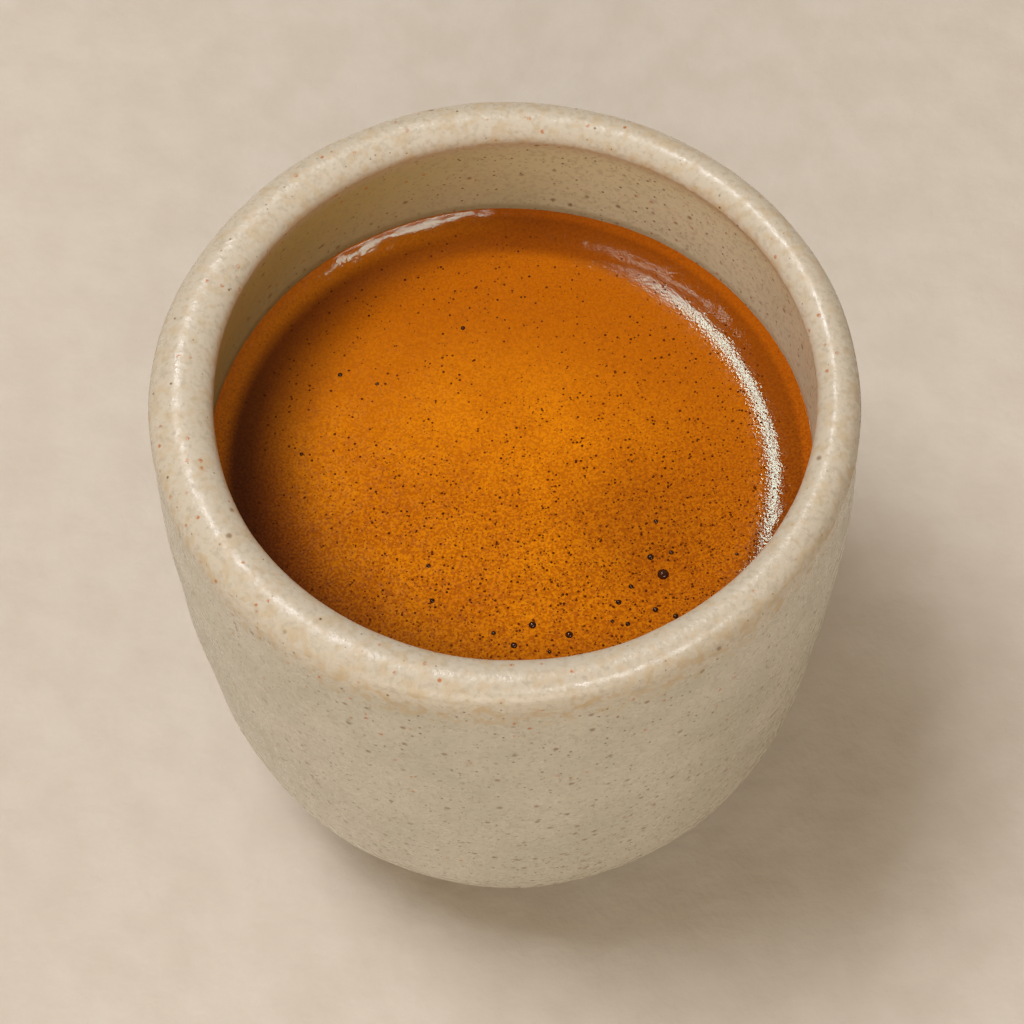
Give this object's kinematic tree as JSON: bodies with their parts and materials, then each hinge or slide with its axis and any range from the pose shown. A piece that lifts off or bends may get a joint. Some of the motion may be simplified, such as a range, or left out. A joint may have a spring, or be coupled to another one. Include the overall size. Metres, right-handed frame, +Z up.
{
  "type": "espresso shot in a stoneware cup",
  "caption": "Espresso with a golden crema, filling a handleless, thick-walled cup of speckled glazed stoneware to a little below the rounded lip.",
  "frame": {"origin": "middle of the foot ring's resting face, on the cup's axis", "axes": "+Z up along the cup's axis; the cup is round, so X and Y are interchangeable"},
  "size_m": [0.06, 0.06, 0.058],
  "materials": {
    "stoneware_glaze": "warm grey cream glaze, semi-gloss, with fine iron specks",
    "crema": null
  },
  "bodies": {
    "root": {"cup": "stoneware_glaze", "espresso": "crema"}
  },
  "joints": []
}
